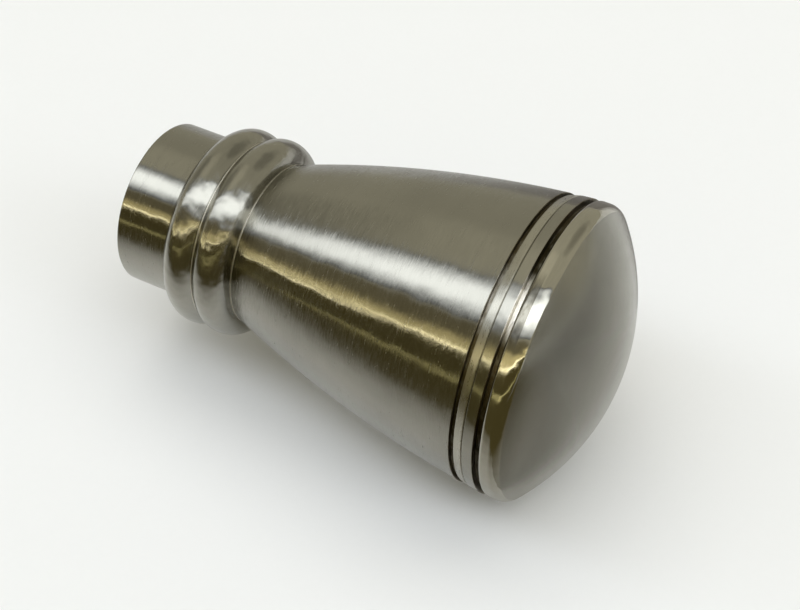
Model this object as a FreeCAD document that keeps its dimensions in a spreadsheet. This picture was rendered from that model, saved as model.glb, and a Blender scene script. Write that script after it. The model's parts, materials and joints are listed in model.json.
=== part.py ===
import FreeCAD, Part
import math
import os

import Sketcher
from FreeCAD import Vector

# Curtain pole finial: a turned metal head whose collar slips over the end of a round pole.
# A grub screw in the underside of the collar locks it there.
# The frame has its origin at the centre of the collar's mouth, +X along the pole's axis towards
# the dome and +Z up. All sizes are in millimetres and angles in degrees.

doc = FreeCAD.newDocument("curtain_pole_finial")

# Driving dimensions, one row each: alias, value, meaning
SIZES = [
    ("total_length", 95.8, "collar mouth to the top of the dome"),
    ("pole_diameter", 28.0, "pole that goes into the socket"),
    ("pole_clearance", 0.2, "gap all round between pole and socket"),
    ("socket_depth", 25.0, "depth of the blind socket"),
    ("socket_corner", 0.8, "radius in the socket's bottom corner"),
    ("collar_wall", 1.8, "thickness of the collar round the socket"),
    ("collar_length", 11.0, "plain collar, from its mouth to the first bead"),
    ("mouth_chamfer", 0.5, "lead-in chamfer inside the mouth"),
    ("mouth_round", 0.4, "rounding on the outer edge of the mouth"),
    ("bead_radius", 4.05, "radius of a bead's section"),
    ("bead_height", 3.6, "height of a bead's crest above the collar"),
    ("bead_pitch", 6.2, "distance between the two beads' crests"),
    ("crevice_width", 0.2, "flat left by the tool between the last bead and the flare"),
    ("flare_radius", 223.0, "radius of the long convex curve of the flaring body"),
    ("head_diameter", 56.5, "largest diameter, on the wall of the cap"),
    ("dome_height", 10.65, "height of the dome above the sharp rim of the cap"),
    ("rim_round", 2.6, "rounding between the wall of the cap and the dome"),
    ("cap_width", 3.1, "wall of the cap, from its groove to the sharp rim"),
    ("cap_lip_round", 0.8, "rounding on the wall of the cap beside its groove"),
    ("cap_groove_width", 0.9, "width of the groove beside the cap"),
    ("cap_groove_depth", 1.35, "depth of that groove below the head diameter"),
    ("band_width", 3.95, "band between the two grooves"),
    ("band_bevel_depth", 0.75, "start of the band's bevel below the head diameter"),
    ("band_bevel_angle", 15.0, "slope of the band's bevel against the axis"),
    ("band_groove_width", 0.7, "width of the groove beside the flaring body"),
    ("band_groove_depth", 1.4, "depth of that groove below the head diameter"),
    ("score_position", 1.73, "distance of the scored line from the start of the band"),
    ("score_depth", 0.55, "depth of the scored line below the head diameter"),
    ("score_angle", 60.0, "angle between the two sides of the scored line"),
    ("groove_overrun", 0.5, "how far a groove's section reaches past the surface"),
    ("screw_diameter", 4.0, "outer diameter of the grub screw's thread"),
    ("screw_clearance", 0.05, "gap all round between the screw and its hole"),
    ("screw_length", 3.0, "length of the grub screw"),
    ("screw_position", 5.5, "distance of the grub screw from the collar mouth"),
    ("screw_setback", 0.1, "distance of the screw's tip outside the socket's wall"),
    ("screw_chamfer", 0.4, "chamfer on both ends of the grub screw"),
    ("key_width", 2.0, "width across the flats of the screw's hexagon socket"),
    ("key_depth", 1.5, "depth of the screw's hexagon socket"),
]

sheet = doc.addObject("Spreadsheet::Sheet", "sizes")
for row, (alias, value, meaning) in enumerate(SIZES, start=1):
    sheet.set(f"A{row}", meaning)
    sheet.set(f"B{row}", str(value))
    sheet.setAlias(f"B{row}", alias)
doc.recompute()

# Places and sizes that follow from the driving dimensions, as expressions on the sheet
SOCKET_RADIUS = "(sizes.pole_diameter / 2 + sizes.pole_clearance)"
COLLAR_RADIUS = f"({SOCKET_RADIUS} + sizes.collar_wall)"
HEAD_RADIUS = "(sizes.head_diameter / 2)"
BEAD_SINK = "(sizes.bead_radius - sizes.bead_height)"
BEAD_CENTRE_RADIUS = f"({COLLAR_RADIUS} - {BEAD_SINK})"
BEAD_HALF_WIDTH = f"sqrt(sizes.bead_radius ^ 2 - {BEAD_SINK} ^ 2)"
FIRST_BEAD_X = f"(sizes.collar_length + {BEAD_HALF_WIDTH})"
FLARE_START_X = f"({FIRST_BEAD_X} + sizes.bead_pitch + {BEAD_HALF_WIDTH} + sizes.crevice_width)"
RIM_X = "(sizes.total_length - sizes.dome_height)"
CAP_START_X = f"({RIM_X} - sizes.cap_width)"
BAND_END_X = f"({CAP_START_X} - sizes.cap_groove_width)"
BAND_START_X = f"({BAND_END_X} - sizes.band_width)"
BODY_END_X = f"({BAND_START_X} - sizes.band_groove_width)"
CUT_TOP_RADIUS = f"({HEAD_RADIUS} + sizes.groove_overrun)"
BEVEL_RADIUS = f"({HEAD_RADIUS} - sizes.band_bevel_depth)"
BEVEL_RISE = "(sizes.band_bevel_depth + sizes.groove_overrun)"
BEVEL_END_X = f"({BAND_START_X} + {BEVEL_RISE} / tan(sizes.band_bevel_angle * 1 deg))"
SCORE_X = f"({BAND_START_X} + sizes.score_position)"
SCORE_HALF_WIDTH = "((sizes.score_depth + sizes.groove_overrun) * tan(sizes.score_angle * 0.5 deg))"
DOME_RADIUS = f"((sizes.dome_height ^ 2 + {HEAD_RADIUS} ^ 2) / (2 * sizes.dome_height))"
HOLE_RADIUS = "(sizes.screw_diameter / 2 + sizes.screw_clearance)"
SCREW_TIP_RADIUS = f"({SOCKET_RADIUS} + sizes.screw_setback)"

FULL_TURN = 360.0
HALF_TURN = 180.0
BEAD_COUNT = 2

# The lip's rounding keeps clear of the rim's rounding and of the groove's floor
RIM_TURN = f"acos({HEAD_RADIUS} / {DOME_RADIUS})"
RIM_TAKES = f"(sizes.rim_round * tan({RIM_TURN} / 2))"
WALL_SHARE = 0.9
LIP_ROUND = (
    f"min(sizes.cap_lip_round; {WALL_SHARE} * (sizes.cap_width - {RIM_TAKES});"
    f" {WALL_SHARE} * sizes.cap_groove_depth)"
)


def size(expression):
    """The value that an expression on the sheet has now, as a plain number."""
    return float(sheet.evalExpression(expression))


def origin_plane(body, role):
    """One of the body's own three planes, found by its role."""
    return next(part for part in body.Origin.OriginFeatures if part.Role == role)


def new_sketch(body, name, role):
    """An empty sketch on one of the body's own planes."""
    sketch = body.newObject("Sketcher::SketchObject", name)
    sketch.AttachmentSupport = [(origin_plane(body, role), "")]
    sketch.MapMode = "FlatFace"
    return sketch


def drive(sketch, kind, elements, name, expression):
    """A named dimension of the sketch that follows an expression on the sheet."""
    index = sketch.addConstraint(Sketcher.Constraint(kind, *elements, size(expression)))
    sketch.renameConstraint(index, name)
    sketch.setExpression(f"Constraints.{name}", expression)


# Numbers that a sketch uses for its own origin and axes, and for the points of an edge
ORIGIN = (-1, 1)
ALONG_AXIS = -1
START = 1
END = 2
CENTRE = 3


def place(sketch, edge, point, name, x=None, y=None):
    """Holds a point at a distance from the sketch's origin along each direction that is given."""
    if x is not None:
        drive(sketch, "DistanceX", (*ORIGIN, edge, point), f"{name}_x", x)
    if y is not None:
        drive(sketch, "DistanceY", (*ORIGIN, edge, point), f"{name}_y", y)


def join(sketch, edge, point, other_edge, other_point):
    sketch.addConstraint(Sketcher.Constraint("Coincident", edge, point, other_edge, other_point))


def polygon(sketch, corners):
    """A closed polygon whose corners are named and follow pairs of expressions on the sheet."""
    points = [Vector(size(x), size(y), 0) for _, x, y in corners]
    count = len(corners)
    for index in range(count):
        sketch.addGeometry(Part.LineSegment(points[index], points[(index + 1) % count]), False)
    for index in range(count):
        join(sketch, index, END, (index + 1) % count, START)
    for index, (name, x, y) in enumerate(corners):
        place(sketch, index, START, name, x, y)


def turn(body, kind, name, sketch, axis="H_Axis"):
    """Turns a section once round one of its sketch's axes, adding or cutting metal."""
    feature = body.newObject(kind, name)
    feature.Profile = (sketch, [""])
    feature.ReferenceAxis = (sketch, [axis])
    feature.Angle = FULL_TURN
    doc.recompute()
    return feature


def ring_edge(shape, x, radius, tolerance=1e-3):
    """The name of the circular edge round the X axis at a place and radius."""
    for index, edge in enumerate(shape.Edges, start=1):
        if edge.Degenerated or not isinstance(edge.Curve, Part.Circle):
            continue
        curve = edge.Curve
        if abs(curve.Center.x - x) < tolerance and abs(curve.Radius - radius) < tolerance:
            return f"Edge{index}"
    raise RuntimeError(f"no circular edge at x {x:.3f} with radius {radius:.3f}")


def dress_edge(body, kind, name, x, radius, dimension, expression):
    """Rounds or chamfers the circular edge that lies at a place and radius."""
    base = body.Tip
    feature = body.newObject(kind, name)
    feature.Base = (base, [ring_edge(base.Shape, size(x), size(radius))])
    feature.setExpression(dimension, expression)
    doc.recompute()
    return feature


def must_cut(before, feature):
    """Stops if a cutting feature took nothing away."""
    if not feature.Shape.Volume < before.Volume:
        raise RuntimeError(f"{feature.Name} cuts nothing")


def draw_blank(body):
    """Half section of the blank: collar, flaring body, wall of the cap and dome."""
    sketch = new_sketch(body, "blank_section", "XZ_Plane")
    length = size("sizes.total_length")
    mouth = Vector(0, size(COLLAR_RADIUS), 0)
    flare_start = Vector(size(FLARE_START_X), size(COLLAR_RADIUS), 0)
    cap_start = Vector(size(CAP_START_X), size(HEAD_RADIUS), 0)
    rim = Vector(size(RIM_X), size(HEAD_RADIUS), 0)
    top = Vector(length, 0, 0)

    flare_radius = size("sizes.flare_radius")
    chord = cap_start - flare_start
    middle = (cap_start + flare_start) / 2
    inward = Vector(chord.y, -chord.x, 0).normalize()
    flare_centre = middle + inward * math.sqrt(flare_radius**2 - (chord.Length / 2) ** 2)
    flare_circle = Part.Circle(flare_centre, Vector(0, 0, 1), flare_radius)
    dome_centre = Vector(length - size(DOME_RADIUS), 0, 0)
    dome_circle = Part.Circle(dome_centre, Vector(0, 0, 1), size(DOME_RADIUS))

    def angle(centre, point):
        return math.atan2(point.y - centre.y, point.x - centre.x)

    edges = [
        Part.LineSegment(Vector(0, 0, 0), mouth),
        Part.LineSegment(mouth, flare_start),
        Part.ArcOfCircle(flare_circle, angle(flare_centre, cap_start), angle(flare_centre, flare_start)),
        Part.LineSegment(cap_start, rim),
        Part.ArcOfCircle(dome_circle, 0, angle(dome_centre, rim)),
        Part.LineSegment(top, Vector(0, 0, 0)),
    ]
    face, collar, flare, wall, dome, axis = (sketch.addGeometry(edge, False) for edge in edges)

    join(sketch, face, START, *ORIGIN)
    join(sketch, face, END, collar, START)
    join(sketch, collar, END, flare, END)
    join(sketch, flare, START, wall, START)
    join(sketch, wall, END, dome, END)
    join(sketch, dome, START, axis, START)
    join(sketch, axis, END, face, START)
    sketch.addConstraint(Sketcher.Constraint("Vertical", face))
    sketch.addConstraint(Sketcher.Constraint("Horizontal", collar))
    sketch.addConstraint(Sketcher.Constraint("Horizontal", wall))
    sketch.addConstraint(Sketcher.Constraint("PointOnObject", dome, START, ALONG_AXIS))
    sketch.addConstraint(Sketcher.Constraint("PointOnObject", dome, CENTRE, ALONG_AXIS))
    place(sketch, face, END, "mouth", y=COLLAR_RADIUS)
    place(sketch, collar, END, "flare_start", x=FLARE_START_X)
    place(sketch, wall, START, "cap_start", x=CAP_START_X, y=HEAD_RADIUS)
    place(sketch, wall, END, "rim", x=RIM_X)
    place(sketch, dome, START, "top", x="sizes.total_length")
    drive(sketch, "Radius", (flare,), "flare_curve", "sizes.flare_radius")
    return sketch


def draw_circle(body, name, role, radius, x, y):
    """A sketch with one circle, its radius and centre following the sheet."""
    sketch = new_sketch(body, name, role)
    centre = Vector(size(x), size(y), 0)
    circle = sketch.addGeometry(Part.Circle(centre, Vector(0, 0, 1), size(radius)), False)
    drive(sketch, "Radius", (circle,), "ring", radius)
    place(sketch, circle, CENTRE, "middle", x, y)
    return sketch


def add_beads(body):
    """The two half-round beads: one ring turned round the axis and repeated along it."""
    section = draw_circle(
        body, "bead_section", "XZ_Plane", "sizes.bead_radius", FIRST_BEAD_X, BEAD_CENTRE_RADIUS
    )
    bead = turn(body, "PartDesign::Revolution", "bead", section)
    pair = body.newObject("PartDesign::LinearPattern", "bead_pair")
    pair.Originals = [bead]
    pair.Direction = (section, ["H_Axis"])
    pair.Occurrences = BEAD_COUNT
    pair.setExpression("Length", "sizes.bead_pitch")
    body.Tip = pair
    doc.recompute()


def cut_groove(body, name, corners):
    """A groove turned into the head, from the corners of its section."""
    before = body.Shape
    sketch = new_sketch(body, f"{name}_section", "XZ_Plane")
    polygon(sketch, corners)
    must_cut(before, turn(body, "PartDesign::Groove", name, sketch))


def cut_head_grooves(body):
    """The bevelled groove beside the flaring body, the line scored above its bevel, and the cap's groove."""
    band_floor = f"{HEAD_RADIUS} - sizes.band_groove_depth"
    cap_floor = f"{HEAD_RADIUS} - sizes.cap_groove_depth"
    cut_groove(
        body,
        "band_groove",
        [
            ("body_top", BODY_END_X, CUT_TOP_RADIUS),
            ("body_floor", BODY_END_X, band_floor),
            ("band_floor", BAND_START_X, band_floor),
            ("bevel_start", BAND_START_X, BEVEL_RADIUS),
            ("bevel_end", BEVEL_END_X, CUT_TOP_RADIUS),
        ],
    )
    cut_groove(
        body,
        "score_line",
        [
            ("bevel_side", f"{SCORE_X} - {SCORE_HALF_WIDTH}", CUT_TOP_RADIUS),
            ("bottom", SCORE_X, f"{HEAD_RADIUS} - sizes.score_depth"),
            ("band_side", f"{SCORE_X} + {SCORE_HALF_WIDTH}", CUT_TOP_RADIUS),
        ],
    )
    cut_groove(
        body,
        "cap_groove",
        [
            ("band_top", BAND_END_X, CUT_TOP_RADIUS),
            ("band_floor", BAND_END_X, cap_floor),
            ("cap_floor", CAP_START_X, cap_floor),
            ("cap_top", CAP_START_X, CUT_TOP_RADIUS),
        ],
    )


def bore_socket(body):
    """The blind socket for the pole, with its bottom corner rounded and its mouth eased."""
    before = body.Shape
    section = new_sketch(body, "socket_section", "XZ_Plane")
    polygon(
        section,
        [
            ("mouth_middle", "0", "0"),
            ("mouth_wall", "0", SOCKET_RADIUS),
            ("bottom_wall", "sizes.socket_depth", SOCKET_RADIUS),
            ("bottom_middle", "sizes.socket_depth", "0"),
        ],
    )
    must_cut(before, turn(body, "PartDesign::Groove", "socket", section))
    dress_edge(
        body, "PartDesign::Fillet", "socket_bottom", "sizes.socket_depth", SOCKET_RADIUS,
        "Radius", "sizes.socket_corner",
    )
    dress_edge(
        body, "PartDesign::Chamfer", "mouth_lead_in", "0", SOCKET_RADIUS,
        "Size", "sizes.mouth_chamfer",
    )
    dress_edge(
        body, "PartDesign::Fillet", "mouth_edge", "0", COLLAR_RADIUS,
        "Radius", "sizes.mouth_round",
    )


def cut_pocket(body, name, sketch, depth):
    """A straight-sided hole of a given depth below a sketch's plane."""
    before = body.Shape
    pocket = body.newObject("PartDesign::Pocket", name)
    pocket.Profile = (sketch, [""])
    pocket.Type = "Length"
    pocket.setExpression("Length", depth)
    doc.recompute()
    must_cut(before, pocket)


def drill_screw_hole(body):
    """The grub screw's hole, from the axis down through the underside of the collar."""
    section = draw_circle(body, "screw_hole_section", "XY_Plane", HOLE_RADIUS, "sizes.screw_position", "0")
    cut_pocket(body, "screw_hole", section, HEAD_RADIUS)


def make_finial_body():
    """The turned piece: collar, beads, flaring body, band, cap and dome."""
    body = doc.addObject("PartDesign::Body", "finial_body")
    body.Label = "finial_body"
    turn(body, "PartDesign::Revolution", "blank", draw_blank(body))
    add_beads(body)
    cut_head_grooves(body)
    dress_edge(body, "PartDesign::Fillet", "rim", RIM_X, HEAD_RADIUS, "Radius", "sizes.rim_round")
    dress_edge(body, "PartDesign::Fillet", "cap_lip", CAP_START_X, HEAD_RADIUS, "Radius", LIP_ROUND)
    bore_socket(body)
    drill_screw_hole(body)
    return body


def draw_hexagon(body, name, across_flats):
    """A regular hexagon round the origin, two of its flats parallel to the sketch's X axis."""
    sketch = new_sketch(body, name, "XY_Plane")
    sides = 6
    corner_radius = size(across_flats) / math.sqrt(3)
    corners = [
        Vector(math.cos(math.tau * side / sides), math.sin(math.tau * side / sides), 0) * corner_radius
        for side in range(sides)
    ]
    for side in range(sides):
        sketch.addGeometry(Part.LineSegment(corners[side], corners[(side + 1) % sides]), False)
    guide = sketch.addGeometry(Part.Circle(Vector(0, 0, 0), Vector(0, 0, 1), corner_radius), True)
    for side in range(sides):
        join(sketch, side, END, (side + 1) % sides, START)
        sketch.addConstraint(Sketcher.Constraint("PointOnObject", side, START, guide))
    for side in range(1, sides):
        sketch.addConstraint(Sketcher.Constraint("Equal", 0, side))
    join(sketch, guide, CENTRE, *ORIGIN)
    sketch.addConstraint(Sketcher.Constraint("PointOnObject", 0, START, ALONG_AXIS))
    drive(sketch, "Radius", (guide,), "corner_circle", f"{across_flats} / sqrt(3)")
    return sketch


def make_grub_screw():
    """The set screw: tip at its own origin, drive end along its own +Z, which points down in the collar."""
    body = doc.addObject("PartDesign::Body", "grub_screw")
    body.Label = "grub_screw"
    radius = "sizes.screw_diameter / 2"
    tip_radius = f"({radius} - sizes.screw_chamfer)"
    shoulder = "(sizes.screw_length - sizes.screw_chamfer)"
    section = new_sketch(body, "screw_section", "XZ_Plane")
    polygon(
        section,
        [
            ("tip_middle", "0", "0"),
            ("tip_edge", tip_radius, "0"),
            ("tip_shoulder", radius, "sizes.screw_chamfer"),
            ("drive_shoulder", radius, shoulder),
            ("drive_edge", tip_radius, "sizes.screw_length"),
            ("drive_middle", "0", "sizes.screw_length"),
        ],
    )
    turn(body, "PartDesign::Revolution", "shank", section, "V_Axis")

    hexagon = draw_hexagon(body, "key_section", "sizes.key_width")
    hexagon.setExpression("AttachmentOffset.Base.z", "sizes.screw_length")
    cut_pocket(body, "key_socket", hexagon, "sizes.key_depth")
    body.Placement.Rotation = FreeCAD.Rotation(Vector(1, 0, 0), HALF_TURN)
    body.setExpression("Placement.Base.x", "sizes.screw_position")
    body.setExpression("Placement.Base.z", f"-{SCREW_TIP_RADIUS}")
    doc.recompute()
    return body


def check_document():
    """Stops if any object of the document failed or any sub-part has no sound solid."""
    for item in doc.Objects:
        if "Invalid" in item.State or "Error" in item.State:
            raise RuntimeError(f"{item.Name} failed: {item.State}")
    for part in PARTS:
        shape = part.Shape
        if shape.isNull() or not shape.isValid() or len(shape.Solids) != 1:
            raise RuntimeError(f"{part.Label} is not one sound solid")


PARTS = [make_finial_body(), make_grub_screw()]
doc.recompute()
check_document()

os.makedirs("parts", exist_ok=True)
for part in PARTS:
    part.Shape.exportStep(f"parts/{part.Label}.step")
    print(f"{part.Label}: {part.Shape.Volume:.1f} mm3")
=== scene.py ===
import json
import math
from collections import namedtuple

import bpy
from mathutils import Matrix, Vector


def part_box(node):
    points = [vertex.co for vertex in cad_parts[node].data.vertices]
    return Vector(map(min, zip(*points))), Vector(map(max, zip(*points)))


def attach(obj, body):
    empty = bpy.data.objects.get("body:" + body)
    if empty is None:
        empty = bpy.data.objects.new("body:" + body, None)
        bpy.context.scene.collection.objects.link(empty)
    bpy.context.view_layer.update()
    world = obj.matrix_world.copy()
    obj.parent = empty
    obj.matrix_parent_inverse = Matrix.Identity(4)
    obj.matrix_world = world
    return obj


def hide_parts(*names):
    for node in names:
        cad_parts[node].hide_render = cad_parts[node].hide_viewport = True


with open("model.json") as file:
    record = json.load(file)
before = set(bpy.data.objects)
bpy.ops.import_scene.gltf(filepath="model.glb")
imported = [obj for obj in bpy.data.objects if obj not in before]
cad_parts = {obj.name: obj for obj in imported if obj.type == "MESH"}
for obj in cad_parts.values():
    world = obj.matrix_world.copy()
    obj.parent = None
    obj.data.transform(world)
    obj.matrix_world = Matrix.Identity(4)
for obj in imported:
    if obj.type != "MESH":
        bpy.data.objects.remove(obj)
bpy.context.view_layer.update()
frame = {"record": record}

# Curtain pole finial: a turned nickel head with a brushed collar and flare, smoother beads and band,
# a polished cap, a satin dome and a blackened grub screw.
# Sizes of the piece are in millimetres until a mesh is made, and the stage is in metres.
MM = 0.001

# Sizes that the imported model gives
body_low, body_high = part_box("finial_body")
screw_low, screw_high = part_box("grub_screw")
socket = next(m for m in frame["record"]["mounts"] if m["name"] == "pole_socket")
TOTAL_LENGTH = body_high.x / MM
HEAD_RADIUS = body_high.z / MM
SOCKET_RADIUS = socket["dims"]["r_mm"]
MOUTH_CHAMFER = socket["pos_m"][0] / MM
SCREW_X = (screw_low.x + screw_high.x) / 2 / MM
SCREW_RADIUS = (screw_high.x - screw_low.x) / 2 / MM
SCREW_TIP_Z = screw_high.z / MM
SCREW_LENGTH = (screw_high.z - screw_low.z) / MM

# Sizes of the turned section
SOCKET_DEPTH = 25.0
SOCKET_CORNER = 0.8
COLLAR_WALL = 1.8
COLLAR_RADIUS = SOCKET_RADIUS + COLLAR_WALL
COLLAR_LENGTH = 11.0
MOUTH_ROUND = 0.4
BEAD_RADIUS = 4.05
BEAD_HEIGHT = 3.6
BEAD_PITCH = 6.2
CREVICE_WIDTH = 0.2
FLARE_RADIUS = 223.0
DOME_HEIGHT = 10.65
RIM_ROUND = 2.6
CAP_WIDTH = 3.1
CAP_LIP_ROUND = 0.8
CAP_GROOVE_WIDTH = 0.9
CAP_GROOVE_DEPTH = 1.35
BAND_WIDTH = 3.95
BAND_BEVEL_DEPTH = 0.75
BAND_BEVEL_ANGLE = math.radians(15)
BAND_GROOVE_WIDTH = 0.7
BAND_GROOVE_DEPTH = 1.4
SCORE_POSITION = 1.73
SCORE_DEPTH = 0.55
SCORE_ANGLE = math.radians(60)

# How far an eased corner reaches along its legs, and the largest share of a leg that it takes
EDGE_EASE = 0.12
SCORE_EASE = 0.06
LIP_FOOT_EASE = 0.06
CREVICE_EASE = 0.12
EASE_LIMIT = 0.45

# Sizes of the grub screw and its hole
THREAD_PITCH = 0.7
THREAD_DEPTH = 0.38
THREAD_ROOT_SHARE = 0.12
THREAD_FLANK_SHARE = 0.7
SCREW_CHAMFER = 0.4
CUP_SHARE = 0.6
CUP_DEPTH = 0.25
KEY_WIDTH = 2.0
KEY_DEPTH = 1.5
KEY_EASE = 0.12
KEY_FLOOR_SHARE = 0.6
KEY_FLOOR_DEPTH = 0.15
HOLE_CLEARANCE = 0.05
HOLE_EASE = 0.4
HOLE_EASE_OVERRUN = 0.1
CUTTER_OVERRUN = 1.0

# How finely the meshes are cut: steps round the axis, and along the stretches of the section
TURN_STEPS = 240
EASE_STEPS = 4
BOTTOM_STEPS = 6
WALL_STEPS = 20
BEAD_STEPS = 32
FLARE_STEPS = 44
GROOVE_STEPS = 3
BEVEL_STEPS = 4
BAND_STEPS = 8
LIP_STEPS = 14
RIM_STEPS = 20
DOME_STEPS = 40
NARROW_STEPS = 2
SCREW_TURN_STEPS = 72
SCREW_ROWS = 60
HOLE_STEPS = 64
SHARP_ANGLE = math.radians(35)

# Finishes of the turned piece, in the order of its material slots
FINISHES = [
    "brushed", "bead", "crevice", "bevel", "band", "cap_wall", "cap", "dome",
    "groove", "wiped_groove", "bore",
]

# One stretch of the turned section: its finish and points, and the reach and finish of the eased corner
# before it
Stretch = namedtuple("Stretch", "finish points ease corner", defaults=(0, None))


def line(start, end, steps=1):
    """Points from start to end, both included."""
    return [
        (start[0] + (end[0] - start[0]) * i / steps, start[1] + (end[1] - start[1]) * i / steps)
        for i in range(steps + 1)
    ]


def arc(centre, radius, start, end, steps):
    """Points on a circle between two angles in radians, measured from the axis of the piece."""
    return [
        (
            centre[0] + radius * math.cos(start + (end - start) * i / steps),
            centre[1] + radius * math.sin(start + (end - start) * i / steps),
        )
        for i in range(steps + 1)
    ]


def eased(before, corner, after, reach):
    """Points of a small curve that takes the place of a corner, reaching back along both its legs."""

    def towards(point):
        share = min(reach / math.dist(corner, point), EASE_LIMIT)
        return tuple(corner[k] + (point[k] - corner[k]) * share for k in (0, 1))

    start, end = towards(before), towards(after)
    points = []
    for i in range(EASE_STEPS + 1):
        t = i / EASE_STEPS
        points.append(
            tuple((1 - t) ** 2 * start[k] + 2 * t * (1 - t) * corner[k] + t**2 * end[k] for k in (0, 1))
        )
    return points


def cap_start():
    return TOTAL_LENGTH - DOME_HEIGHT - CAP_WIDTH


def band_end():
    return cap_start() - CAP_GROOVE_WIDTH


def band_start():
    return band_end() - BAND_WIDTH


def flare_end():
    return band_start() - BAND_GROOVE_WIDTH


def bead_sink():
    return BEAD_RADIUS - BEAD_HEIGHT


def bead_half_width():
    return math.sqrt(BEAD_RADIUS**2 - bead_sink() ** 2)


def bead_end():
    return COLLAR_LENGTH + 2 * bead_half_width() + BEAD_PITCH


def flare_start():
    return bead_end() + CREVICE_WIDTH


def flare_centre():
    """Centre of the flaring body's long convex curve, which runs from the crevice to the cap."""
    start = (flare_start(), COLLAR_RADIUS)
    end = (cap_start(), HEAD_RADIUS)
    chord = math.dist(start, end)
    along = ((end[0] - start[0]) / chord, (end[1] - start[1]) / chord)
    sink = math.sqrt(FLARE_RADIUS**2 - (chord / 2) ** 2)
    return (
        (start[0] + end[0]) / 2 + along[1] * sink,
        (start[1] + end[1]) / 2 - along[0] * sink,
    )


def flare_curve(start_x, end_x, steps):
    """Points on the flaring body's curve between two places along the axis."""
    centre = flare_centre()

    def angle(x):
        return math.acos((x - centre[0]) / FLARE_RADIUS)

    return arc(centre, FLARE_RADIUS, angle(start_x), angle(end_x), steps)


def line_meets_flare(start, angle):
    """Where a line, rising from a point at an angle to the axis, comes out on that curve."""
    centre = flare_centre()
    step = (math.cos(angle), math.sin(angle))
    gap = (start[0] - centre[0], start[1] - centre[1])
    along = gap[0] * step[0] + gap[1] * step[1]
    reach = -along + math.sqrt(along**2 - (gap[0] ** 2 + gap[1] ** 2 - FLARE_RADIUS**2))
    return (start[0] + reach * step[0], start[1] + reach * step[1])


def line_meets_line(start, angle, other_start, other_angle):
    """Where two lines cross, each given by a point and its angle to the axis."""
    across = math.sin(other_angle - angle)
    gap = (other_start[0] - start[0], other_start[1] - start[1])
    reach = (gap[0] * math.sin(other_angle) - gap[1] * math.cos(other_angle)) / across
    return (start[0] + reach * math.cos(angle), start[1] + reach * math.sin(angle))


def socket_and_collar():
    """The socket from the middle of its bottom to the mouth, and the plain collar outside it."""
    bottom_wall = (SOCKET_DEPTH, SOCKET_RADIUS)
    wall_end = (MOUTH_CHAMFER, SOCKET_RADIUS)
    mouth_inner = (0, SOCKET_RADIUS + MOUTH_CHAMFER)
    mouth_outer = (0, COLLAR_RADIUS)
    return [
        Stretch("bore", line((SOCKET_DEPTH, 0), bottom_wall, BOTTOM_STEPS)),
        Stretch("bore", line(bottom_wall, wall_end, WALL_STEPS), SOCKET_CORNER),
        Stretch("bore", line(wall_end, mouth_inner), EDGE_EASE),
        Stretch("brushed", line(mouth_inner, mouth_outer, NARROW_STEPS), EDGE_EASE),
        Stretch("brushed", line(mouth_outer, (COLLAR_LENGTH, COLLAR_RADIUS), WALL_STEPS), MOUTH_ROUND),
    ]


def beads():
    """The two beads, which cut into each other between their crests, and the crevice after them."""
    centre_r = COLLAR_RADIUS - bead_sink()
    foot = math.asin(bead_sink() / BEAD_RADIUS)
    valley = math.acos(BEAD_PITCH / 2 / BEAD_RADIUS)
    first_x = COLLAR_LENGTH + bead_half_width()
    first = arc((first_x, centre_r), BEAD_RADIUS, math.pi - foot, valley, BEAD_STEPS)
    second = arc((first_x + BEAD_PITCH, centre_r), BEAD_RADIUS, math.pi - valley, foot, BEAD_STEPS)
    crevice = line((bead_end(), COLLAR_RADIUS), (flare_start(), COLLAR_RADIUS), NARROW_STEPS)
    return [
        Stretch("bead", first, CREVICE_EASE, "crevice"),
        Stretch("bead", second, CREVICE_EASE, "crevice"),
        Stretch("crevice", crevice),
    ]


def flare_and_band():
    """The flaring body, the groove beside it, and the band with its bevel and scored line."""
    floor = HEAD_RADIUS - BAND_GROOVE_DEPTH
    flare = flare_curve(flare_start(), flare_end(), FLARE_STEPS)
    flare_foot = (flare_end(), floor)
    band_foot = (band_start(), floor)
    bevel_foot = (band_start(), HEAD_RADIUS - BAND_BEVEL_DEPTH)
    score = (band_start() + SCORE_POSITION, HEAD_RADIUS - SCORE_DEPTH)
    bevel_top = line_meets_line(bevel_foot, BAND_BEVEL_ANGLE, score, (math.pi + SCORE_ANGLE) / 2)
    score_edge = line_meets_flare(score, (math.pi - SCORE_ANGLE) / 2)
    band = flare_curve(score_edge[0], band_end(), BAND_STEPS)
    return [
        Stretch("brushed", flare),
        Stretch("groove", line(flare[-1], flare_foot, GROOVE_STEPS), EDGE_EASE),
        Stretch("groove", line(flare_foot, band_foot, GROOVE_STEPS), EDGE_EASE),
        Stretch("groove", line(band_foot, bevel_foot, NARROW_STEPS), EDGE_EASE),
        Stretch("bevel", line(bevel_foot, bevel_top, BEVEL_STEPS), EDGE_EASE),
        Stretch("bevel", line(bevel_top, score, NARROW_STEPS), SCORE_EASE),
        Stretch("band", line(score, band[0], NARROW_STEPS), SCORE_EASE),
        Stretch("band", band, SCORE_EASE),
    ]


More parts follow.
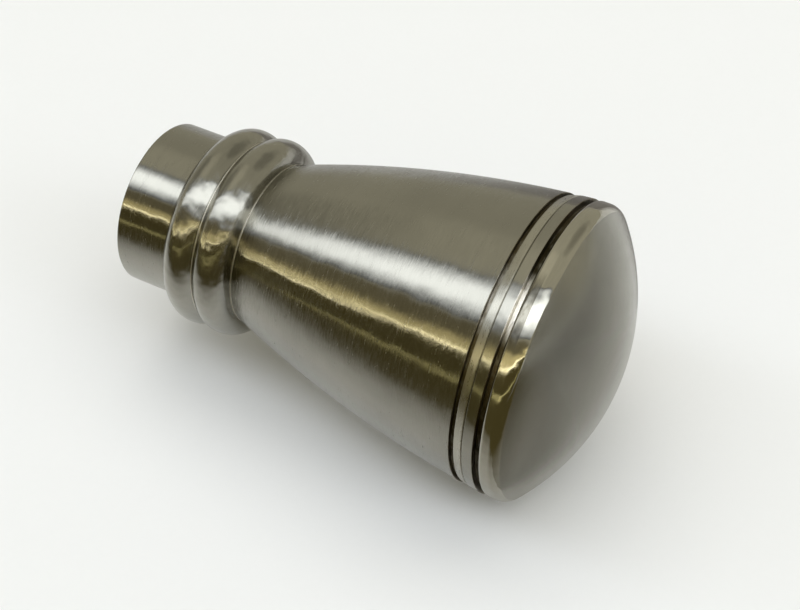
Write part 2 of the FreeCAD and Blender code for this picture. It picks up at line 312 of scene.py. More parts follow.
def cap_and_dome(band_edge):
    """The groove after the band, the cap with its lip and rim, and the dome."""
    floor = HEAD_RADIUS - CAP_GROOVE_DEPTH
    band_foot = (band_end(), floor)
    cap_foot = (cap_start(), floor)
    lip = (cap_start() + CAP_LIP_ROUND, HEAD_RADIUS - CAP_LIP_ROUND)
    dome_radius = (DOME_HEIGHT**2 + HEAD_RADIUS**2) / (2 * DOME_HEIGHT)
    dome_x = TOTAL_LENGTH - dome_radius
    rim_r = HEAD_RADIUS - RIM_ROUND
    rim_x = dome_x + math.sqrt((dome_radius - RIM_ROUND) ** 2 - rim_r**2)
    dome_turn = math.atan2(rim_r, rim_x - dome_x)
    return [
        Stretch("wiped_groove", line(band_edge, band_foot, GROOVE_STEPS), EDGE_EASE),
        Stretch("wiped_groove", line(band_foot, cap_foot, GROOVE_STEPS), EDGE_EASE),
        Stretch("wiped_groove", line(cap_foot, (cap_start(), lip[1])), LIP_FOOT_EASE),
        Stretch("cap_wall", arc(lip, CAP_LIP_ROUND, math.pi, math.pi / 2, LIP_STEPS)),
        Stretch("cap_wall", line((lip[0], HEAD_RADIUS), (rim_x, HEAD_RADIUS), NARROW_STEPS)),
        Stretch("cap", arc((rim_x, rim_r), RIM_ROUND, math.pi / 2, dome_turn, RIM_STEPS)),
        Stretch("dome", arc((dome_x, 0), dome_radius, dome_turn, 0, DOME_STEPS)),
    ]


def section():
    """Half section from the middle of the socket's bottom to the top of the dome."""
    stretches = socket_and_collar() + beads() + flare_and_band()
    return stretches + cap_and_dome(stretches[-1].points[-1])


def section_points():
    """The section as one run of points, with the finish of the edge that ends at each point."""
    stretches = section()
    points, finishes = [stretches[0].points[0]], [stretches[0].finish]
    for stretch in stretches:
        inner = stretch.points[1:]
        if stretch.ease:
            corner = points.pop()
            before = finishes.pop()
            points += eased(points[-1], corner, inner[0], stretch.ease)
            finishes += [before] + [stretch.corner or stretch.finish] * EASE_STEPS
        points += inner
        finishes += [stretch.finish] * len(inner)
    return points, finishes


def turned_vertices(points):
    """The section's two ends on the axis, then a ring round the X axis for each point between them."""
    vertices = [(points[0][0] * MM, 0, 0), (points[-1][0] * MM, 0, 0)]
    for x, r in points[1:-1]:
        for k in range(TURN_STEPS):
            turn = math.tau * k / TURN_STEPS
            vertices.append((x * MM, r * MM * math.sin(turn), -r * MM * math.cos(turn)))
    return vertices


def turned_faces(finishes, lengths):
    """Faces between the rings, each with its finish and its corners' places on the unrolled section."""

    def at(ring, k):
        return 2 + ring * TURN_STEPS + k % TURN_STEPS

    faces = []
    last = len(lengths) - 3
    for k in range(TURN_STEPS):
        near, far, middle = (turn / TURN_STEPS for turn in (k, k + 1, k + 0.5))
        places = ((middle, 0), (far, lengths[1]), (near, lengths[1]))
        faces.append(((0, at(0, k + 1), at(0, k)), finishes[1], places))
        for ring in range(last):
            corners = (at(ring, k), at(ring, k + 1), at(ring + 1, k + 1), at(ring + 1, k))
            low, high = lengths[ring + 1], lengths[ring + 2]
            places = ((near, low), (far, low), (far, high), (near, high))
            faces.append((corners, finishes[ring + 2], places))
        places = ((middle, lengths[-1]), (near, lengths[-2]), (far, lengths[-2]))
        faces.append(((1, at(last, k), at(last, k + 1)), finishes[-1], places))
    return faces


def turned_mesh(name):
    """The section turned once round the X axis, and the length of the section."""
    points, finishes = section_points()
    lengths = [0.0]
    for a, b in zip(points, points[1:]):
        lengths.append(lengths[-1] + math.dist(a, b))
    faces = turned_faces(finishes, lengths)
    mesh = bpy.data.meshes.new(name)
    mesh.from_pydata(turned_vertices(points), [], [corners for corners, _, _ in faces])
    uv = mesh.uv_layers.new(name="turned")
    for face, (_, finish, places) in zip(mesh.polygons, faces):
        face.material_index = FINISHES.index(finish)
        for loop, (u, v) in zip(face.loop_indices, places):
            uv.data[loop].uv = (u, v / lengths[-1])
    mesh.validate()
    return mesh, lengths[-1]


def link(obj):
    bpy.context.scene.collection.objects.link(obj)
    return obj


def baked(obj, name):
    """The object's mesh with its modifiers worked in."""
    depsgraph = bpy.context.evaluated_depsgraph_get()
    mesh = bpy.data.meshes.new_from_object(obj.evaluated_get(depsgraph), depsgraph=depsgraph)
    mesh.name = name
    return mesh


def ring_stack(rings, steps):
    """Vertices and faces of a closed stack of rings, each given as radius and height along -Z."""
    vertices, faces = [], []
    for r, z in rings:
        for k in range(steps):
            turn = math.tau * k / steps
            vertices.append((r * math.cos(turn), r * math.sin(turn), -z))
    for ring in range(len(rings) - 1):
        for k in range(steps):
            a, b = ring * steps + k, ring * steps + (k + 1) % steps
            faces.append((a, a + steps, b + steps, b))
    faces.append(tuple(range(steps)))
    faces.append(tuple(reversed(range((len(rings) - 1) * steps, len(rings) * steps))))
    return vertices, faces


def hole_cutter(materials):
    """The grub screw's hole, brushed like the collar and widened a little where it comes out of it."""
    r = SCREW_RADIUS + HOLE_CLEARANCE
    mouth = COLLAR_RADIUS + HOLE_EASE_OVERRUN
    rings = [
        (r, SOCKET_RADIUS / 2),
        (r, mouth - HOLE_EASE),
        (r + HOLE_EASE, mouth),
        (r + HOLE_EASE, COLLAR_RADIUS + CUTTER_OVERRUN),
    ]
    vertices, faces = ring_stack(rings, HOLE_STEPS)
    mesh = bpy.data.meshes.new("hole_cutter")
    mesh.from_pydata([((x + SCREW_X) * MM, y * MM, z * MM) for x, y, z in vertices], [], faces)
    for material in materials:
        mesh.materials.append(material)
    for face in mesh.polygons:
        face.material_index = FINISHES.index("brushed")
    return link(bpy.data.objects.new("hole_cutter", mesh))


def smooth(mesh):
    """Shades a mesh smoothly, apart from its sharp edges."""
    mesh.shade_smooth()
    mesh.set_sharp_from_angle(angle=SHARP_ANGLE)


def make_finial_body():
    """The turned piece with the grub screw's hole through the underside of its collar."""
    mesh, section_length = turned_mesh("finial_turned")
    for finish in FINISHES:
        mesh.materials.append(nickel_finish(finish, section_length))
    blank = link(bpy.data.objects.new("blank", mesh))
    cutter = hole_cutter(mesh.materials)
    hole = blank.modifiers.new("hole", "BOOLEAN")
    hole.object = cutter
    hole.operation = "DIFFERENCE"
    hole.solver = "EXACT"
    cut = baked(blank, "finial_cut")
    smooth(cut)
    blank.modifiers.clear()
    blank.data = cut
    blank.modifiers.new("normals", "WEIGHTED_NORMAL").keep_sharp = True
    final = baked(blank, "finial")
    for unused in (blank, cutter):
        bpy.data.objects.remove(unused)
    body = link(bpy.data.objects.new("finial", final))
    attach(body, "root")
    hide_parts("finial_body")


def thread_radius(turn, z):
    """Radius of the screw's thread at a turn round its axis and a height above its tip."""
    share = (z / THREAD_PITCH - turn / math.tau) % 1.0
    flank = (abs(2 * share - 1) - THREAD_ROOT_SHARE) / THREAD_FLANK_SHARE
    crest = min(max(flank, 0.0), 1.0)
    radius = SCREW_RADIUS - THREAD_DEPTH * (1 - crest)
    end = min(z, SCREW_LENGTH - z)
    return min(radius, SCREW_RADIUS - SCREW_CHAMFER + end)


def key_radius(turn):
    """Radius of the hexagon socket at a turn round the screw's axis."""
    side = math.tau / 6
    return KEY_WIDTH / 2 / math.cos((turn + side / 2) % side - side / 2)


def screw_rings():
    """The screw's rings, each by its radius at a turn and its height: cup, thread and hexagon socket."""
    key_floor = SCREW_LENGTH - KEY_DEPTH
    heights = [SCREW_LENGTH * row / SCREW_ROWS for row in range(SCREW_ROWS + 1)]
    rings = [(lambda turn: CUP_SHARE * (SCREW_RADIUS - SCREW_CHAMFER), CUP_DEPTH)]
    rings += [(lambda turn, z=z: thread_radius(turn, z), z) for z in heights]
    rings.append((lambda turn: key_radius(turn) + KEY_EASE, SCREW_LENGTH))
    rings.append((key_radius, SCREW_LENGTH - KEY_EASE))
    rings.append((key_radius, key_floor))
    rings.append((lambda turn: KEY_FLOOR_SHARE * KEY_WIDTH / 2, key_floor - KEY_FLOOR_DEPTH))
    return rings


def make_grub_screw():
    """The set screw, with its thread and the hexagon socket in its outer end."""
    steps = SCREW_TURN_STEPS
    vertices, faces = [], []
    rings = screw_rings()
    for radius_at, height in rings:
        for k in range(steps):
            turn = math.tau * k / steps
            r = radius_at(turn)
            x, y = r * math.cos(turn), r * math.sin(turn)
            vertices.append(((SCREW_X + x) * MM, -y * MM, (SCREW_TIP_Z - height) * MM))
    for low in range(0, (len(rings) - 1) * steps, steps):
        for k in range(steps):
            after = (k + 1) % steps
            faces.append((low + k, low + after, low + steps + after, low + steps + k))
    faces.append(tuple(reversed(range(steps))))
    faces.append(tuple(range(len(vertices) - steps, len(vertices))))
    mesh = bpy.data.meshes.new("grub_screw_threaded")
    mesh.from_pydata(vertices, [], faces)
    mesh.materials.append(black_steel())
    smooth(mesh)
    screw = link(bpy.data.objects.new("grub_screw_threaded", mesh))
    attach(screw, "root")
    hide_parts("grub_screw")


class Nodes:
    """Adds nodes to a node tree and links them."""

    def __init__(self, tree):
        self.tree = tree

    def add(self, kind, **settings):
        made = self.tree.nodes.new(kind)
        for key, value in settings.items():
            setattr(made, key, value)
        return made

    def put(self, value, target):
        """Links a socket to an input, or sets the input to a plain value."""
        if isinstance(value, bpy.types.NodeSocket):
            self.tree.links.new(value, target)
        else:
            target.default_value = value

    def math(self, operation, a, b=0.0, clamp=False):
        made = self.add("ShaderNodeMath", operation=operation, use_clamp=clamp)
        self.put(a, made.inputs[0])
        self.put(b, made.inputs[1])
        return made.outputs[0]

    def dot(self, a, b):
        made = self.add("ShaderNodeVectorMath", operation="DOT_PRODUCT")
        self.put(a, made.inputs[0])
        self.put(b, made.inputs[1])
        return made.outputs["Value"]

    def point(self, x, y, z):
        made = self.add("ShaderNodeCombineXYZ")
        for value, target in zip((x, y, z), made.inputs):
            self.put(value, target)
        return made.outputs[0]

    def split(self, vector):
        made = self.add("ShaderNodeSeparateXYZ")
        self.put(vector, made.inputs[0])
        return made.outputs

    def place(self):
        """Places in the object's own frame."""
        return self.add("ShaderNodeTexCoord").outputs["Object"]

    def noise(self, vector, scale=1.0, detail=2.0, roughness=0.5):
        made = self.add("ShaderNodeTexNoise")
        self.put(vector, made.inputs["Vector"])
        made.inputs["Scale"].default_value = scale
        made.inputs["Detail"].default_value = detail
        made.inputs["Roughness"].default_value = roughness
        return made.outputs["Fac"]

    def fit(self, value, low, high, to_low=0.0, to_high=1.0, way="LINEAR"):
        """Maps a range of values onto another and holds it there."""
        made = self.add("ShaderNodeMapRange", clamp=True, interpolation_type=way)
        self.put(value, made.inputs["Value"])
        ends = {"From Min": low, "From Max": high, "To Min": to_low, "To Max": to_high}
        for name, number in ends.items():
            self.put(number, made.inputs[name])
        return made.outputs["Result"]

    def mix(self, share, a, b):
        made = self.add("ShaderNodeMix", data_type="RGBA")
        self.put(share, made.inputs["Factor"])
        self.put(a if isinstance(a, bpy.types.NodeSocket) else (*a, 1), made.inputs["A"])
        self.put(b if isinstance(b, bpy.types.NodeSocket) else (*b, 1), made.inputs["B"])
        return made.outputs["Result"]

    def ramp(self, value, stops):
        """Colours by value, from a list of values and the colours there."""
        low, high = stops[0][0], stops[-1][0]
        made = self.add("ShaderNodeValToRGB")
        self.put(self.fit(value, low, high), made.inputs["Fac"])
        elements = made.color_ramp.elements
        while len(elements) < len(stops):
            elements.new(1.0)
        for element, (place, colour) in zip(elements, stops):
            element.position = (place - low) / (high - low)
            element.color = (*colour, 1)
        return made.outputs["Color"]

    def curve(self, value, stops):
        """Numbers by value, from a list of values and the numbers there."""
        return self.ramp(value, [(place, (number,) * 3) for place, number in stops])


class Material(Nodes):
    """Builds one material's node tree."""

    def __init__(self, name):
        self.material = bpy.data.materials.new(name)
        self.material.use_nodes = True
        super().__init__(self.material.node_tree)
        self.shader = self.tree.nodes["Principled BSDF"]
        self.output = self.tree.nodes["Material Output"]

    def bump(self, height, distance, normal=None):
        made = self.add("ShaderNodeBump")
        made.inputs["Strength"].default_value = 1.0
        made.inputs["Distance"].default_value = distance
        self.put(height, made.inputs["Height"])
        if normal is not None:
            self.put(normal, made.inputs["Normal"])
        return made.outputs["Normal"]

    def glow(self, colour, cover=1.0, strength=1.0):
        """Makes the material a glowing sheet that covers what is behind it by a share."""
        light = self.add("ShaderNodeEmission")
        self.put(colour, light.inputs["Color"])
        light.inputs["Strength"].default_value = strength
        blend = self.add("ShaderNodeMixShader")
        self.put(cover, blend.inputs["Fac"])
        self.put(self.add("ShaderNodeBsdfTransparent").outputs[0], blend.inputs[1])
        self.put(light.outputs[0], blend.inputs[2])
        self.put(blend.outputs[0], self.output.inputs["Surface"])
        self.tree.nodes.remove(self.shader)
        return self.material


# Noise drawn out round the axis: its grains to a millimetre along the section and round it, and its
# detail
Grain = namedtuple("Grain", "along round detail")
FINE = Grain(3.2, 0.48, 2.0)
BROAD = Grain(0.9, 0.04, 2.0)
PATCHES = Grain(1.5, 0.45, 3.0)
GRAIN_ROUGHNESS = 0.6
WAVE_DETAIL = 1.0
STAIN_SCALE = 60.0
STAIN_DETAIL = 3.0

# Colours of the plate, plain and polished, of a lighter plate painted in as a highlight in the crevices
# and grooves, and of what lies in its grooves and beside them, where the smear is partly painted shade
NICKEL = (0.36, 0.348, 0.305)
NICKEL_POLISHED = (0.49, 0.47, 0.405)
NICKEL_HIGHLIGHT = (0.78, 0.74, 0.66)
POLISHED = ("cap", "cap_wall", "bevel")
RESIDUE = (0.115, 0.092, 0.05)
SMEAR_AND_SHADE = (0.16, 0.145, 0.11)
SOOT = (0.030, 0.026, 0.012)
STAIN_LEVEL = 0.87
STREAK_LEVEL = 1.17
STREAK_SHARE = 0.3

# Where light is painted in, by the angle above the front, in the band where the highlight falls: a
# painted highlight in the grooves and painted shade on the cap wall. Its middle, its reach, the share of
# the reach that is painted in full, and how much painted highlight each groove takes
HIGHLIGHT_TURN = math.radians(59)
HIGHLIGHT_SPREAD = math.radians(15)
HIGHLIGHT_FULL = 0.55
GROOVE_HIGHLIGHT_SHARE = {"groove": 0.4, "wiped_groove": 1.0}

# Ranges of the noise over which an effect comes in, and the levels between which it runs
STAINS_IN = (0.35, 0.7)
FINE_IN = (0.35, 0.75)
BROAD_IN = (0.3, 0.7)
BROAD_ROUGHENS = (0.92, 1.08)
DIRT_IN = (0.4, 0.6)
BARE_IN = (0.48, 0.75)
BARE_LEVELS = (0.0, 0.5)
HIGHLIGHT_PATCHES_IN = (0.3, 0.5)
HIGHLIGHT_PATCH_LEVELS = (0.35, 1.0)
SMEAR_AND_SHADE_IN = (0.3, 0.6)
SMEAR_AND_SHADE_LEVELS = (1.0, 0.6)
CREVICE_LEVELS = (0.0, 0.4)

# How a finish looks: its roughness, the share by which brush lines roughen it, how far its highlights
# are drawn out along the axis, the depths in metres of the brush lines and of the slow waves under
# them, and the waves to a millimetre
Look = namedtuple("Look", "roughness spread anisotropy brush waves wave_scale")
LOOKS = {
    "brushed": Look(0.145, 1.0, 1.0, 1.9e-5, 8e-5, 0.18),
    "bead": Look(0.16, 0.5, 0.3, 7e-6, 1.3e-4, 0.36),
    "crevice": Look(0.40, 0.10, 0.0, 2e-6, 1e-5, 0.30),
    "bevel": Look(0.27, 0.25, 0.5, 4e-6, 3e-5, 0.40),
    "band": Look(0.17, 0.25, 0.6, 4e-6, 5e-5, 0.35),
    "cap_wall": Look(0.12, 0.30, 0.2, 2e-6, 8e-5, 0.32),
    "cap": Look(0.09, 0.10, 0.2, 1e-6, 8e-5, 0.32),
    "dome": Look(0.23, 0.05, 0.2, 5e-7, 1e-5, 0.08),
    "groove": Look(0.38, 0.20, 0.0, 4e-6, 2e-5, 0.50),
    "wiped_groove": Look(0.34, 0.20, 0.0, 4e-6, 2e-5, 0.50),
    "bore": Look(0.40, 0.30, 0.6, 1.2e-5, 1e-5, 0.10),
}
QUARTER_TURN = 0.25


def scaled(colour, level):
    return tuple(c * level for c in colour)


class TurnedMaterial(Material):
    """A material of the turned piece, with noise that runs round its axis."""

    def __init__(self, name, section_length):
        super().__init__(name)
        self.at = self.place()
        _, self.y, self.z = self.split(self.at)
        _, share, _ = self.split(self.add("ShaderNodeUVMap", uv_map="turned").outputs["UV"])
        self.along = self.math("MULTIPLY", share, section_length)

    def streaks(self, grain):
        """Noise drawn out round the axis."""
        spot = self.point(
            self.math("MULTIPLY", self.along, grain.along),
            self.math("MULTIPLY", self.y, grain.round / MM),
            self.math("MULTIPLY", self.z, grain.round / MM),
        )
        return self.noise(spot, detail=grain.detail, roughness=GRAIN_ROUGHNESS)

    def highlight_band(self):
        """How much light is painted in at each angle above the front, where the highlight falls."""
        turn = self.math("ARCTAN2", self.z, self.math("MULTIPLY", self.y, -1.0))
        off = self.math("ABSOLUTE", self.math("SUBTRACT", turn, HIGHLIGHT_TURN))
        return self.fit(off, HIGHLIGHT_FULL * HIGHLIGHT_SPREAD, HIGHLIGHT_SPREAD, 1.0, 0.0)


def plate_colour(n, plain, fine, stains):
    """Plain plate, a little stained and lighter along its brush lines."""
    tint = n.mix(n.fit(stains, *STAINS_IN), plain, scaled(plain, STAIN_LEVEL))
    return n.mix(n.fit(fine, *FINE_IN, 0.0, STREAK_SHARE), tint, scaled(plain, STREAK_LEVEL))


def groove_colour(n, highlight_share, stains):
    """Residue in a groove, bare in patches, with a painted highlight by a share where the highlight
    falls.
    """
    patches = n.streaks(PATCHES)
    dirt = n.mix(n.fit(stains, *DIRT_IN), SOOT, RESIDUE)
    # Lighter bare plate in the band where the highlight falls: a painted highlight
    painted_highlight = n.math("MULTIPLY", n.highlight_band(), highlight_share)
    highlight_bare = n.math("MULTIPLY", painted_highlight, n.fit(patches, *HIGHLIGHT_PATCHES_IN, *HIGHLIGHT_PATCH_LEVELS))
    bare_and_highlight = n.math("ADD", n.fit(patches, *BARE_IN, *BARE_LEVELS), highlight_bare, clamp=True)
    return n.mix(bare_and_highlight, dirt, n.mix(painted_highlight, NICKEL, NICKEL_HIGHLIGHT))


def smear_and_shade_colour(n, colour):
    """Darker patches where the highlight falls: residue from the groove and painted shade over the
    highlight.
    """
    smear_and_shade = n.math("MULTIPLY", n.highlight_band(), n.fit(n.streaks(PATCHES), *SMEAR_AND_SHADE_IN, *SMEAR_AND_SHADE_LEVELS))
    return n.mix(smear_and_shade, colour, SMEAR_AND_SHADE)


def finish_colour(n, finish, fine, broad):
    """The colour of one of the turned piece's finishes."""
    if finish == "crevice":
        # Crevices take a lighter plate: a painted highlight, a thin bright line along them
        return n.mix(n.fit(broad, *BROAD_IN, *CREVICE_LEVELS), NICKEL_HIGHLIGHT, NICKEL)
    stains = n.noise(n.at, scale=STAIN_SCALE, detail=STAIN_DETAIL)
    # The grooves carry residue, and a painted highlight where the highlight falls
    if finish in GROOVE_HIGHLIGHT_SHARE:
        return groove_colour(n, GROOVE_HIGHLIGHT_SHARE[finish], stains)
    plain = NICKEL_POLISHED if finish in POLISHED else NICKEL
    colour = plate_colour(n, plain, fine, stains)
    # The cap wall: residue and painted shade in patches where the highlight falls
    return smear_and_shade_colour(n, colour) if finish == "cap_wall" else colour


def nickel_finish(finish, section_length):
    """Satin nickel plate with one of the turned piece's finishes."""
    look = LOOKS[finish]
    n = TurnedMaterial(f"nickel_{finish}", section_length)
    fine, broad = n.streaks(FINE), n.streaks(BROAD)
    waves = n.streaks(Grain(look.wave_scale, look.wave_scale, WAVE_DETAIL))
    lined = n.fit(fine, *FINE_IN, look.roughness, (1 + look.spread) * look.roughness)
    rough = n.math("MULTIPLY", lined, n.fit(broad, *BROAD_IN, *BROAD_ROUGHENS))
    tangent = n.add("ShaderNodeTangent", direction_type="UV_MAP", uv_map="turned")
    n.put(finish_colour(n, finish, fine, broad), n.shader.inputs["Base Color"])
    n.put(rough, n.shader.inputs["Roughness"])
    n.shader.inputs["Metallic"].default_value = 1.0
    n.shader.inputs["Anisotropic"].default_value = look.anisotropy
    n.shader.inputs["Anisotropic Rotation"].default_value = QUARTER_TURN
    n.put(tangent.outputs["Tangent"], n.shader.inputs["Tangent"])
    waved = n.bump(waves, look.waves)
    n.put(n.bump(fine, look.brush, normal=waved), n.shader.inputs["Normal"])
    return n.material


STEEL_BLACK = (0.035, 0.035, 0.038)
STEEL_WORN = (0.16, 0.155, 0.15)
STEEL_GRAIN_SCALE = 2500.0
STEEL_GRAIN_DETAIL = 3.0
STEEL_GRAIN_IN = (0.3, 0.7)
STEEL_GRAIN_DEPTH = 1e-5
STEEL_ROUGHNESS = (0.32, 0.5)
STEEL_WEAR_SCALE = 700.0
STEEL_WEAR_DETAIL = 4.0
STEEL_WEAR_ROUGHNESS = 0.65
STEEL_WEAR_IN = (0.56, 0.66)


def black_steel():
    """Blackened steel of the grub screw, worn brighter in patches."""
    n = Material("black_steel")
    place = n.place()
    grain = n.noise(place, STEEL_GRAIN_SCALE, STEEL_GRAIN_DETAIL)
    wear = n.noise(place, STEEL_WEAR_SCALE, STEEL_WEAR_DETAIL, STEEL_WEAR_ROUGHNESS)
    colour = n.mix(n.fit(wear, *STEEL_WEAR_IN), STEEL_BLACK, STEEL_WORN)
    n.put(colour, n.shader.inputs["Base Color"])
    n.put(n.fit(grain, *STEEL_GRAIN_IN, *STEEL_ROUGHNESS), n.shader.inputs["Roughness"])
    n.shader.inputs["Metallic"].default_value = 1.0
    n.put(n.bump(grain, STEEL_GRAIN_DEPTH), n.shader.inputs["Normal"])
    return n.material


FLOOR_COLOUR = (0.88, 0.88, 0.88)
FLOOR_FIBRE_LEVEL = 0.985
FLOOR_FIBRE_SCALE = 900.0
FLOOR_FIBRE_DETAIL = 3.0
FLOOR_ROUGHNESS = 0.9
FLOOR_REACH = 6.0
FLOOR_GAP = 0.0002
FLOOR_Z = body_low.z - FLOOR_GAP


def floor_material():
    """Plain pale paper."""
    n = Material("pale_floor")
    fibres = n.noise(n.place(), FLOOR_FIBRE_SCALE, FLOOR_FIBRE_DETAIL)
    colour = n.mix(fibres, FLOOR_COLOUR, scaled(FLOOR_COLOUR, FLOOR_FIBRE_LEVEL))
    n.put(colour, n.shader.inputs["Base Color"])
    n.shader.inputs["Roughness"].default_value = FLOOR_ROUGHNESS
    n.shader.inputs["Specular IOR Level"].default_value = 0.0
    return n.material


def quads(name, points, faces, material):
    """A flat piece of the stage."""
    mesh = bpy.data.meshes.new(name)
    mesh.from_pydata(points, [], faces)
    mesh.materials.append(material)
    obj = link(bpy.data.objects.new(name, mesh))
    return obj


def make_floor():
    reach = FLOOR_REACH
    corners = [(-reach, -reach), (reach, -reach), (reach, reach), (-reach, reach)]
    quads("floor", [(x, y, FLOOR_Z) for x, y in corners], [(0, 1, 2, 3)], floor_material())


# The surroundings in front of the piece, seen only as a reflection: a warm dark card that glows lies on
# the floor, its cover growing with the distance from the piece, and then stands up. Beside the head it
# comes
# nearer, as painted shade: the darker floor in the contact shade by the head, seen in reflection.
CARD_NEAR_Y = (-0.02, 0.0)
CARD_FULL_Y = (-0.105, -0.065)
CARD_HEAD_SHADE_X = (0.06, 0.085)
CARD_FAR_Y = -0.6
CARD_TOP_Z = 0.66
CARD_LIFT = 0.001
CARD_Z = FLOOR_Z + CARD_LIFT
CARD_LYING_X = (-2.0, 0.6)
CARD_STANDING_X = (-2.0, 2.5)
CARD_DARK = (0.095, 0.078, 0.028)
CARD_MID = (0.19, 0.165, 0.095)
CARD_WARM = (0.90, 0.77, 0.38)
CARD_GLINT = (8.5, 7.8, 5.2)
CARD_FAINT = (2.2, 2.0, 0.95)

# Colours of that card, by the tangent of the angle above the piece's axis
CARD_COLOURS = [
    (-0.06, CARD_DARK), (0.045, CARD_DARK), (0.06, CARD_FAINT), (0.075, CARD_DARK), (0.47, CARD_DARK),
    (0.49, CARD_GLINT), (0.51, CARD_WARM), (0.65, CARD_WARM), (0.76, CARD_MID), (1.10, CARD_MID),
]

# How far these colours sink towards the card's left end, by the place along it, and how far they rise
# towards its right end, with the places where the rise begins and ends
CARD_SINK = [(-0.95, 0.28), (-0.60, 0.17), (-0.42, 0.0)]
CARD_RISE_X = (-0.12, 0.40)
CARD_RISE = 0.13

# Painted shade on the floor in front of the dome, a dark sheet seen only in reflection: its cover by the
# angle in degrees round the dome's foot, and the share of that cover by the distance from it
DOME_SHADE_COLOUR = (0.06, 0.056, 0.044)
DOME_SHADE_CENTRE = (0.092, -0.022)
DOME_SHADE_REACH = 1.5
DOME_SHADE_Z = FLOOR_Z + CARD_LIFT / 2
DOME_SHADE_COVER = [
    (-30, 0.88), (-15, 0.70), (-6, 0.55), (4, 0.78), (14, 0.80),
    (36, 0.72), (48, 0.55), (58, 0.43), (76, 0.15), (95, 0.0),
]
DOME_SHADE_SHARE = [
    (0.01, 0.54), (0.03, 0.65), (0.06, 0.72), (0.11, 0.84), (0.25, 1.0), (0.60, 0.95), (1.20, 0.70),
]

# A dark card on the floor behind the piece: its cover by the angle in degrees round the head
BACK_CARD_COLOUR = (0.18, 0.165, 0.15)
BACK_CARD_CENTRE = (0.09, 0.0)
BACK_CARD_NEAR_Y = 0.045
BACK_CARD_REACH = 2.5
BACK_CARD_COVER = [(82, 0.0), (94, 0.9), (112, 0.9), (124, 0.4), (136, 0.5), (160, 0.3)]


def front_card_material():
    n = Material("front_card")
    x, y, z = n.split(n.place())
    sunk = n.math("ADD", n.math("DIVIDE", z, -CARD_FAR_Y), n.curve(x, CARD_SINK))
    height = n.math("SUBTRACT", sunk, n.fit(x, *CARD_RISE_X, 0.0, CARD_RISE))
    # Beside the head the cover begins nearer: painted shade on the floor there
    near = n.fit(x, *CARD_HEAD_SHADE_X, *CARD_NEAR_Y)
    full = n.fit(x, *CARD_HEAD_SHADE_X, *CARD_FULL_Y)
    return n.glow(n.ramp(height, CARD_COLOURS), cover=n.fit(y, near, full))


def turn_and_distance(n, centre):
    """The angle round a place on the floor, and the distance from it."""
    x, y, _ = n.split(n.place())
    ahead, aside = (n.math("SUBTRACT", v, c) for v, c in zip((x, y), centre))
    squares = n.math("ADD", n.math("MULTIPLY", ahead, ahead), n.math("MULTIPLY", aside, aside))
    return n.math("ARCTAN2", aside, ahead), n.math("SQRT", squares)


def cover_by_turn(n, turn, stops):
    """The cover by the angle, from a list of angles in degrees and the cover there."""
    return n.curve(turn, [(math.radians(angle), cover) for angle, cover in stops])


def dome_shade_material():
    n = Material("dome_card")
    turn, distance = turn_and_distance(n, DOME_SHADE_CENTRE)
    cover = cover_by_turn(n, turn, DOME_SHADE_COVER)
    share = n.curve(distance, DOME_SHADE_SHARE)
    # A dark sheet as painted shade on the floor, seen only in the dome's reflection
    return n.glow((*DOME_SHADE_COLOUR, 1), cover=n.math("MULTIPLY", cover, share))


def back_card_material():
    n = Material("back_card")
    turn, _ = turn_and_distance(n, BACK_CARD_CENTRE)
    return n.glow((*BACK_CARD_COLOUR, 1), cover=cover_by_turn(n, turn, BACK_CARD_COVER))


def make_card(name, points, faces, material):
    """A card that shows only as a reflection."""
    card = quads(name, points, faces, material)
    card.visible_camera = False
    card.visible_diffuse = False
    card.visible_shadow = False


def make_front_card():
    points = [(x, y, CARD_Z) for y in (CARD_NEAR_Y[1], CARD_FAR_Y) for x in CARD_LYING_X]
    points += [(x, CARD_FAR_Y, z) for z in (CARD_Z, CARD_TOP_Z) for x in CARD_STANDING_X]
    make_card("front_card", points, [(0, 1, 3, 2), (4, 5, 7, 6)], front_card_material())


def make_dome_shade():
    x, y = DOME_SHADE_CENTRE
    reach = DOME_SHADE_REACH
    corners = [(0, -reach), (reach, -reach), (reach, reach), (0, reach)]
    points = [(x + ahead, y + aside, DOME_SHADE_Z) for ahead, aside in corners]
    make_card("dome_card", points, [(0, 1, 2, 3)], dome_shade_material())


def make_back_card():
    ends = (-BACK_CARD_REACH, BACK_CARD_REACH)
    points = [(x, y, CARD_Z) for y in (BACK_CARD_NEAR_Y, BACK_CARD_REACH) for x in ends]
    make_card("back_card", points, [(0, 1, 3, 2)], back_card_material())


# The long ceiling softbox, by its places in plan and its height. Its light fades to both long edges and
# falls from the middle to the left end. From SOFTBOX_SPLAY_X to the right these edges run off by a slope
# each.
SOFTBOX_X = (-5.0, 6.0)
SOFTBOX_Y = (-1.55, -0.12)
SOFTBOX_SPLAY_X = 0.3
SOFTBOX_SLOPES = (0.03, 0.3)
SOFTBOX_Z = 1.8
SOFTBOX_RADIANCE = 2.7
SOFTBOX_COLOUR = (1.0, 1.05, 1.10)
SOFTBOX_FADE = [(-1.55, 0.0), (-1.25, 0.35), (-0.92, 1.0), (-0.55, 1.0), (-0.34, 0.5), (-0.12, 0.0)]
SOFTBOX_LEFT_LEVEL = 0.65
BLACK = (0, 0, 0)


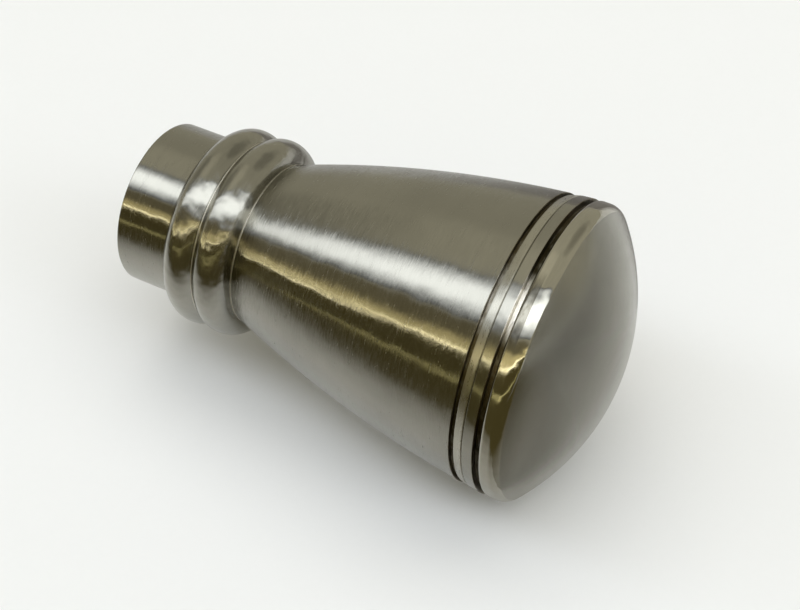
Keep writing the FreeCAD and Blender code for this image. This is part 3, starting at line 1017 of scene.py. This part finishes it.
def softbox_material():
    n = Material("softbox")
    x, y, _ = n.split(n.place())
    splay = n.math("MAXIMUM", n.math("SUBTRACT", x, SOFTBOX_SPLAY_X), 0.0)
    shifts = (n.math("MULTIPLY", splay, slope) for slope in SOFTBOX_SLOPES)
    front, back = (n.math("ADD", edge, shift) for edge, shift in zip(SOFTBOX_Y, shifts))
    across = n.fit(y, front, back, *SOFTBOX_Y)
    fade = n.ramp(across, [(place, scaled(SOFTBOX_COLOUR, level)) for place, level in SOFTBOX_FADE])
    along = n.fit(x, SOFTBOX_X[0], 0.0, SOFTBOX_LEFT_LEVEL, 1.0)
    return n.glow(n.mix(along, BLACK, fade), strength=SOFTBOX_RADIANCE)


def make_softbox():
    left, right = SOFTBOX_X
    points = []
    for edge, slope in zip(SOFTBOX_Y, SOFTBOX_SLOPES):
        points.append((left, edge, SOFTBOX_Z))
        points.append((SOFTBOX_SPLAY_X, edge, SOFTBOX_Z))
        points.append((right, edge + slope * (right - SOFTBOX_SPLAY_X), SOFTBOX_Z))
    quads("softbox", points, [(0, 3, 4, 1), (1, 4, 5, 2)], softbox_material())


# A fill lamp that lifts the floor and makes no highlight
FILL_SIZE = 4.0
FILL_Z = 3.0
FILL_ENERGY = 60.0


def make_fill():
    light = bpy.data.lights.new("fill", "AREA")
    light.size = FILL_SIZE
    light.energy = FILL_ENERGY
    lamp = link(bpy.data.objects.new("fill", light))
    lamp.location = (0, 0, FILL_Z)
    lamp.visible_glossy = False


# The room, with some lighter and darker parts, each by its direction and its level
WORLD_COLOUR = (0.475, 0.455, 0.36)
WORLD_TONES = [
    (Vector((-0.45, 0.19, 0.87)), 1.36),
    (Vector((-0.83, 0.15, 0.54)), 0.62),
    (Vector((0.25, 0.75, 0.62)), 0.6),
    (Vector((0.98, 0.12, 0.0)), 0.5),
]
WORLD_TONE_REACH = math.radians(26)


def make_world():
    world = bpy.data.worlds.new("studio")
    world.use_nodes = True
    n = Nodes(world.node_tree)
    direction = n.add("ShaderNodeTexCoord").outputs["Generated"]
    strength = 1.0
    for towards, level in WORLD_TONES:
        near = n.dot(direction, towards.normalized())
        tone = n.fit(near, math.cos(WORLD_TONE_REACH), 1.0, 1.0, level, way="SMOOTHSTEP")
        strength = n.math("MULTIPLY", strength, tone)
    background = n.tree.nodes["Background"]
    background.inputs["Color"].default_value = (*WORLD_COLOUR, 1)
    n.put(strength, background.inputs["Strength"])
    bpy.context.scene.world = world


# The camera stands where the photo's did, found by a fit of the piece's outline
CAMERA_AZIMUTH = math.radians(28.38)
CAMERA_ELEVATION = math.radians(46.17)
CAMERA_TARGET = Vector((52.5, -0.6, -2.6)) * MM
CAMERA_DISTANCE = 297.5 * MM
CAMERA_LENS = 72.0
CAMERA_CLIP = 0.01


def make_camera():
    data = bpy.data.cameras.new("camera")
    data.lens = CAMERA_LENS
    data.clip_start = CAMERA_CLIP
    camera = link(bpy.data.objects.new("camera", data))
    back = Vector((
        math.sin(CAMERA_AZIMUTH) * math.cos(CAMERA_ELEVATION),
        -math.cos(CAMERA_AZIMUTH) * math.cos(CAMERA_ELEVATION),
        math.sin(CAMERA_ELEVATION),
    ))
    camera.location = CAMERA_TARGET + back * CAMERA_DISTANCE
    camera.rotation_mode = "QUATERNION"
    camera.rotation_quaternion = (-back).to_track_quat("-Z", "Y")
    bpy.context.scene.camera = camera


bpy.context.scene.view_settings.view_transform = "Standard"
make_finial_body()
make_grub_screw()
make_floor()
make_front_card()
make_dome_shade()
make_back_card()
make_softbox()
make_fill()
make_world()
make_camera()
